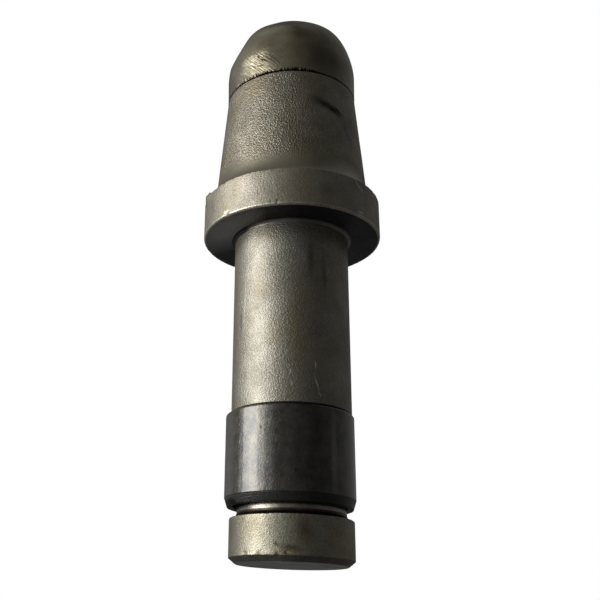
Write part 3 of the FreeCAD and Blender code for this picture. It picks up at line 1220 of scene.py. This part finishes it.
@dataclass
class DomedCap:
    """The hard cap: a half sphere on a short skirt, with the spigot that sits in the head's socket."""

    base_r: float = 18.0
    seam_chamfer: float = 0.2
    skirt: float = 1.4
    spigot_r: float = 8.0
    spigot_chamfer: float = 1.0
    spigot_root: float = 1.0
    pitch: float = 0.7
    dents: tuple[Dent, ...] = (
        Dent(-90, 0.1, 148.0, 19.0, (0.35, 0.0)),
        Dent(40, 14.0, 145.0, 6.0, (0.3, 0.25)),
        Dent(-54, 13.8, 145.3, 11.0, (0.45, 0.35)),
        Dent(69, 16.0, 141.9, 6.0, (-0.7, -0.35)),
    )

    def build(self) -> Object:
        """Turns the cap, makes its lower edge ragged and dresses it.

        Returns:
            The finished piece.
        """
        low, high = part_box("domed_cap")
        spigot_bottom = low.z / MM
        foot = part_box("braze_layer")[1].z / MM
        dome_r = (high.x - low.x) / 2 / MM
        apex = high.z / MM
        piece = turn("oiled_domed_cap", [
            Corner(0, spigot_bottom, 0, 8.0),
            Corner(self.spigot_r - self.spigot_chamfer, spigot_bottom),
            Corner(self.spigot_r, spigot_bottom + self.spigot_chamfer, 0, 8.0),
            Corner(self.spigot_r, foot, self.spigot_root, 4.0),
            Corner(self.base_r - self.seam_chamfer, foot, 0.08, 0.2),
            Corner(self.base_r, foot + self.seam_chamfer, 0.15, 0.35),
            Corner(self.base_r, foot + self.skirt, 0, self.pitch),
            Corner(dome_r, apex - dome_r, 0, self.pitch),
            Corner(dome_r, apex, dome_r, self.pitch),
            Corner(0, apex),
        ], closed=False)
        edge = ((self.base_r, foot + self.seam_chamfer),)
        Unevenness(
            "ragged lower edge", scale=0.7, depth=0.15, reach=0.9, circles=edge, threshold=0.5, inward=True
        ).wear(piece)
        dome = ((dome_r, apex - dome_r / 2),)
        Unevenness("pressing waves", scale=8.0, depth=0.14, reach=16.0, circles=dome).wear(piece)
        dent_all(piece, self.dents)
        dress(piece, [HardCapAlloy(foot, self.base_r, marks=CAP_STREAKS_PAINTED_HIGHLIGHT_AND_SHADE).make()], lambda place: 0)
        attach(piece, "pick")
        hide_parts("domed_cap")
        return piece


@dataclass
class RetainingSleeve:
    """The split spring sleeve, which lies a little to one side of the neck, with its slot at the back."""

    wall: float = 2.0
    chamfer_radial: float = 0.7
    chamfer_height: float = 2.2
    top_rounding: float = 0.5
    bore_break: float = 0.25
    end_skin: float = 0.12
    slot_width: float = 4.5
    slot_flare: float = 1.2
    flare_steps: int = 6
    cutter_spare: float = 1.0

    def build(self) -> Object:
        """Turns the tube, cuts its slot and dresses it.

        Returns:
            The finished piece.
        """
        low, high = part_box("retaining_sleeve")
        outer_r = (high.x - low.x) / 2 / MM
        bottom, top = low.z / MM, high.z / MM
        bore_r = outer_r - self.wall
        piece = turn("black_retaining_sleeve", [
            Corner(bore_r + self.bore_break, bottom, 0.1, 0.6),
            Corner(outer_r - self.chamfer_radial, bottom, 0.15, 0.5),
            Corner(outer_r, bottom + self.chamfer_height, 0.3, 0.6),
            Corner(outer_r, top, self.top_rounding, 0.6),
            Corner(bore_r + self.bore_break, top, 0.1, 0.6),
            Corner(bore_r, top - self.bore_break, 0.1, 2.5),
            Corner(bore_r, bottom + self.bore_break, 0.1, 0.6),
        ], closed=True)
        walls = ((outer_r, (bottom + top) / 2),)
        Unevenness("rolling waves", scale=7.0, depth=0.06, reach=14.0, circles=walls).wear(piece)
        cutter = self.slot_cutter(outer_r, bottom, top)
        apply_modifier(piece, "BOOLEAN", object=cutter, operation="DIFFERENCE", solver="EXACT")
        bpy.data.objects.remove(cutter)
        with editing(piece, "SELECT"):
            bpy.ops.transform.translate(value=((high.x + low.x) / 2, 0, 0))
        finishes = (
            BlackOxideSteel("black oxide on rolled spring steel", marks=SLEEVE_SPOTS_AND_PAINTED_REFLECTION),
            OiledSteel(
                "black oxide on the turned chamfer", "#51514f", "#2f2f2e", 0.34, 0.5, 0.03,
                tinge=0.0, tool_marks=0.3, tool_mark_depth=0.06, marks=SLEEVE_CHAMFER_PAINTED_SHADE),
            # Painted shade: the sleeve's lower end is drawn near-black.
            OiledSteel("black oxide, darkened with painted shade, on the lower end", "#1e1e1e", "#141414", 0.5, 0.5, 0.03, tinge=0.0),
        )
        ceilings = bottom + self.chamfer_height, bottom + self.end_skin
        dress(
            piece, [finish.make() for finish in finishes],
            lambda place: sum(place.z < ceiling for ceiling in ceilings),
        )
        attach(piece, "sleeve")
        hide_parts("retaining_sleeve")
        return piece

    def slot_cutter(self, outer_r: float, bottom: float, top: float) -> Object:
        """Builds the bar that cuts the slot: straight sides that flare in quarter rounds at both ends.

        Args:
            outer_r: The sleeve's outer radius, in mm.
            bottom: The sleeve's lower end, in mm.
            top: Its upper end, in mm.

        Returns:
            The cutter.
        """
        half, flare, spare = self.slot_width / 2, self.slot_flare, self.cutter_spare
        quarter = [math.pi / 2 * k / self.flare_steps for k in range(self.flare_steps + 1)]
        lower = [
            Vector((half + flare * (1 - math.sin(a)), 0, bottom + flare * (1 - math.cos(a)))) for a in quarter
        ]
        upper = [Vector((p.x, 0, bottom + top - p.z)) for p in reversed(lower)]
        first, last = (Vector((half + flare, 0, height)) for height in (bottom - spare, top + spare))
        right = [first, *lower, *upper, last]
        left = [Vector((-p.x, 0, p.z)) for p in reversed(right)]
        cutter = start_chain("slot cutter", [*right, *left], closed=True)
        with editing(cutter, "SELECT"):
            bpy.ops.mesh.edge_face_add()
            bpy.ops.mesh.extrude_region_move(TRANSFORM_OT_translate={"value": (0, (outer_r + spare) * MM, 0)})
            bpy.ops.mesh.select_all(action="SELECT")
            bpy.ops.mesh.normals_make_consistent(inside=False)
        return cutter


@dataclass(frozen=True)
class PhotoCamera:
    """The camera of the photograph, close below the collar and looking up along the shank.

    The rims' tilt in the photograph puts the middle of its uncropped picture well to the left of the pick.
    """

    place: tuple[float, float, float] = (0.0, -216.35, -14.73)
    yaw_deg: float = -6.75
    pitch_deg: float = 21.34
    roll_deg: float = 2.4
    focal_px: float = 872.97
    axis_px: Pair = (195.0, 288.0)
    sensor_mm: float = 36.0
    clip_start: float = 10.0

    def build(self) -> Object:
        """Makes the camera and sets it as the scene's.

        Returns:
            The camera.
        """
        yaw, pitch, roll = (math.radians(a) for a in (self.yaw_deg, self.pitch_deg, self.roll_deg))
        forward = Vector((math.sin(yaw) * math.cos(pitch), math.cos(yaw) * math.cos(pitch), math.sin(pitch)))
        level = forward.cross(Vector((0, 0, 1))).normalized()
        upright = level.cross(forward)
        right = level * math.cos(roll) + upright * math.sin(roll)
        up = upright * math.cos(roll) - level * math.sin(roll)
        data = bpy.data.cameras.new("photo camera")
        data.sensor_width = self.sensor_mm
        data.lens = self.focal_px / PHOTO_SIZE_PX * self.sensor_mm
        middle = PHOTO_SIZE_PX / 2
        data.shift_x = (middle - self.axis_px[0]) / PHOTO_SIZE_PX
        data.shift_y = (self.axis_px[1] - middle) / PHOTO_SIZE_PX
        data.clip_start = self.clip_start * MM
        camera = bpy.data.objects.new("photo camera", data)
        turned = Matrix((right, up, -forward)).transposed().to_4x4()
        camera.matrix_world = Matrix.Translation(Vector(self.place) * MM) @ turned
        bpy.context.scene.collection.objects.link(camera)
        bpy.context.scene.camera = camera
        return camera


@dataclass(frozen=True)
class Lamp:
    """A soft box, in mm, that faces the middle of the pick. Its brightness stays when its size changes."""

    name: str
    azimuth: float
    distance: float
    height: float
    width: float
    tall: float
    brightness: float

    def build(self, target: Vector) -> Object:
        """Hangs the lamp.

        Args:
            target: The point that it faces, in metres.

        Returns:
            The lamp.
        """
        data = bpy.data.lights.new(self.name, "AREA")
        data.shape = "RECTANGLE"
        data.size, data.size_y = self.width * MM, self.tall * MM
        data.energy = self.brightness * math.pi * data.size * data.size_y
        lamp = bpy.data.objects.new(self.name, data)
        lamp.location = polar(self.azimuth, self.distance, self.height) * MM
        lamp.rotation_euler = (target - lamp.location).to_track_quat("-Z", "Y").to_euler()
        lamp.visible_camera = False
        bpy.context.scene.collection.objects.link(lamp)
        return lamp


@dataclass(frozen=True)
class Ramp:
    """A grey that changes along a line, as (place, grey) stops."""

    stops: tuple[Pair, ...]
    start: float
    end: float

    def add(self, tree: NodeTree, value: NodeSocket) -> NodeSocket:
        """Adds the ramp to a tree.

        Args:
            tree: The node tree.
            value: The place along the line, from start to end.

        Returns:
            The grey.
        """
        share = add_node(tree, "MapRange", {"Value": value, "From Min": self.start, "From Max": self.end})
        greys = add_node(tree, "ValToRGB", {0: share})
        elements = greys.node.color_ramp.elements
        elements.remove(elements[-1])
        for i, (place, grey) in enumerate(self.stops):
            position = (place - self.start) / (self.end - self.start)
            element = elements[0] if i == 0 else elements.new(position)
            element.position = position
            element.color = (grey, grey, grey, 1)
        return greys


@dataclass(frozen=True)
class Studio:
    """A plain pale floor and a white surround, with soft boxes and a dim tent that only reflections see."""

    floor_r: float = 700.0
    floor_solid_r: float = 220.0
    floor_drop: float = 0.2
    floor_colour: str = "#dededc"
    tent_r: float = 900.0
    tent_segments: int = 72
    back_opening_deg: float = 5.0
    opening_foot_deg: float = 0.0
    opening_top_deg: float = 34.0
    round_tent: Ramp = Ramp((
        (-180.0, 0.1), (-150.0, 0.13), (-110.0, 0.13), (-85.0, 0.1), (-40.0, 0.06), (-20.0, 0.11),
        (0.0, 0.18), (40.0, 0.3), (90.0, 0.42), (125.0, 0.38), (143.0, 0.2), (165.0, 0.1), (180.0, 0.1),
    ), -180.0, 180.0)
    up_tent: Ramp = Ramp((
        (-90.0, 0.55), (-25.0, 0.6), (0.0, 1.0), (50.0, 1.0), (70.0, 0.85), (90.0, 0.85),
    ), -90.0, 90.0)
    lamps: tuple[Lamp, ...] = (
        Lamp("window", 72, 520, 195, 298, 430, 4.4),
        Lamp("bright pane", 66, 500, 195, 160, 410, 1.6),
        Lamp("window's right side", 50.5, 520, 195, 110, 430, 2.5),
        Lamp("wall beside the window", 38, 520, 195, 165, 430, 0.6),
        Lamp("curtain", 92, 520, 195, 110, 430, 0.8),
    )

    def build(self) -> None:
        """Sets up the surround, the floor, the tent and the lamps."""
        self.build_world()
        self.build_floor()
        self.build_tent()
        low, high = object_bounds()
        for lamp in self.lamps:
            lamp.build((low + high) / 2)
        bpy.context.scene.view_settings.view_transform = "Standard"

    def build_world(self) -> None:
        """Makes the surround plain white for every ray."""
        world = bpy.data.worlds.new("white surround")
        world.use_nodes = True
        world.node_tree.nodes.clear()
        light = add_node(world.node_tree, "Background", {"Color": (1, 1, 1, 1), "Strength": 1.0})
        add_node(world.node_tree, "OutputWorld", {"Surface": light})
        world.cycles.sampling_method = "NONE"
        bpy.context.scene.world = world

    def build_floor(self) -> None:
        """Lays the floor, which fades into the surround.

        It shows from above only, because the photograph looks up from below its level. It keeps the pick's
        shadow, and the steel mirrors the tent in its place.
        """
        bpy.ops.object.select_all(action="DESELECT")
        bpy.ops.mesh.primitive_plane_add(size=2 * self.floor_r * MM, location=(0, 0, -self.floor_drop * MM))
        floor = bpy.context.object
        floor.name = "studio_floor"
        material, tree, in_mm = start_material("pale studio floor")
        underside = add_node(tree, "NewGeometry", output="Backfacing")
        reach = add_node(tree, "VectorMath", {"operation": "LENGTH", 0: in_mm}, "Value")
        fade = add_node(tree, "MapRange", {
            "interpolation_type": "SMOOTHSTEP", "Value": reach,
            "From Min": self.floor_solid_r, "From Max": self.floor_r,
        })
        unseen = add_node(tree, "Math", {"operation": "MAXIMUM", 0: underside, 1: fade})
        paint = add_node(tree, "BsdfDiffuse", {"Color": linear(self.floor_colour)})
        clear = add_node(tree, "BsdfTransparent")
        add_node(tree, "OutputMaterial", {
            "Surface": add_node(tree, "MixShader", {0: unseen, 1: paint, 2: clear}),
        })
        floor.data.materials.append(material)
        floor.visible_glossy = False
        floor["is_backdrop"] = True

    def build_tent(self) -> None:
        """Hangs the tent: a ball of dim cloth with an opening at the back, brighter on the window's side."""
        bpy.ops.object.select_all(action="DESELECT")
        bpy.ops.mesh.primitive_uv_sphere_add(
            segments=self.tent_segments, ring_count=self.tent_segments // 2, radius=self.tent_r * MM
        )
        tent = bpy.context.object
        tent.name = "reflection_tent"
        with editing(tent, element="FACE"):
            for face in bmesh.from_edit_mesh(tent.data).faces:
                centre = face.calc_center_median()
                off_back = abs(math.degrees(math.atan2(centre.x, centre.y)))
                lift = math.degrees(math.asin(centre.z / centre.length))
                in_height = self.opening_foot_deg < lift < self.opening_top_deg
                face.select_set(off_back < self.back_opening_deg and in_height)
            bpy.ops.mesh.delete(type="FACE")
        tent.data.materials.append(self.tent_cloth())
        tent.visible_camera = tent.visible_diffuse = tent.visible_shadow = False
        tent.visible_transmission = tent.visible_volume_scatter = False
        tent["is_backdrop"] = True

    def tent_cloth(self) -> Material:
        """Builds the tent's cloth, whose grey changes round the pick and up.

        Returns:
            The material.
        """
        material, tree, in_mm = start_material("dim tent cloth")
        spoke = add_node(tree, "VectorMath", {"operation": "NORMALIZE", 0: in_mm})
        axes = add_node(tree, "SeparateXYZ", {0: spoke}).node.outputs
        left, front = (add_node(tree, "Math", {"operation": "MULTIPLY", 0: axes[i], 1: -1.0}) for i in "XY")
        azimuth = add_node(tree, "Math", {"operation": "ARCTAN2", 0: left, 1: front})
        lift = add_node(tree, "Math", {"operation": "ARCSINE", 0: axes["Z"]})
        round_grey, up_grey = (
            ramp.add(tree, add_node(tree, "Math", {"operation": "DEGREES", 0: angle}))
            for ramp, angle in ((self.round_tent, azimuth), (self.up_tent, lift))
        )
        grey = add_node(tree, "VectorMath", {"operation": "MULTIPLY", 0: round_grey, 1: up_grey})
        light = add_node(tree, "Emission", {"Color": grey})
        add_node(tree, "OutputMaterial", {"Surface": light})
        material.cycles.emission_sampling = "NONE"
        return material


def main() -> None:
    """Builds the camera, the pick's pieces and the studio, in order."""
    logging.basicConfig(level=logging.INFO, format="%(name)s: %(message)s")
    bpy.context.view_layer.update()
    PhotoCamera().build()
    for maker in (PickBody(), DomedCap(), RetainingSleeve()):
        piece = maker.build()
        log.info("%s has %d faces", piece.name, len(piece.data.polygons))
    braze = frame["nodes"]["braze_layer"]
    braze.data.materials.clear()
    braze.data.materials.append(SootedBraze().make())
    log.info("braze_layer keeps its packed mesh")
    Studio().build()


if __name__ == "__main__":
    main()
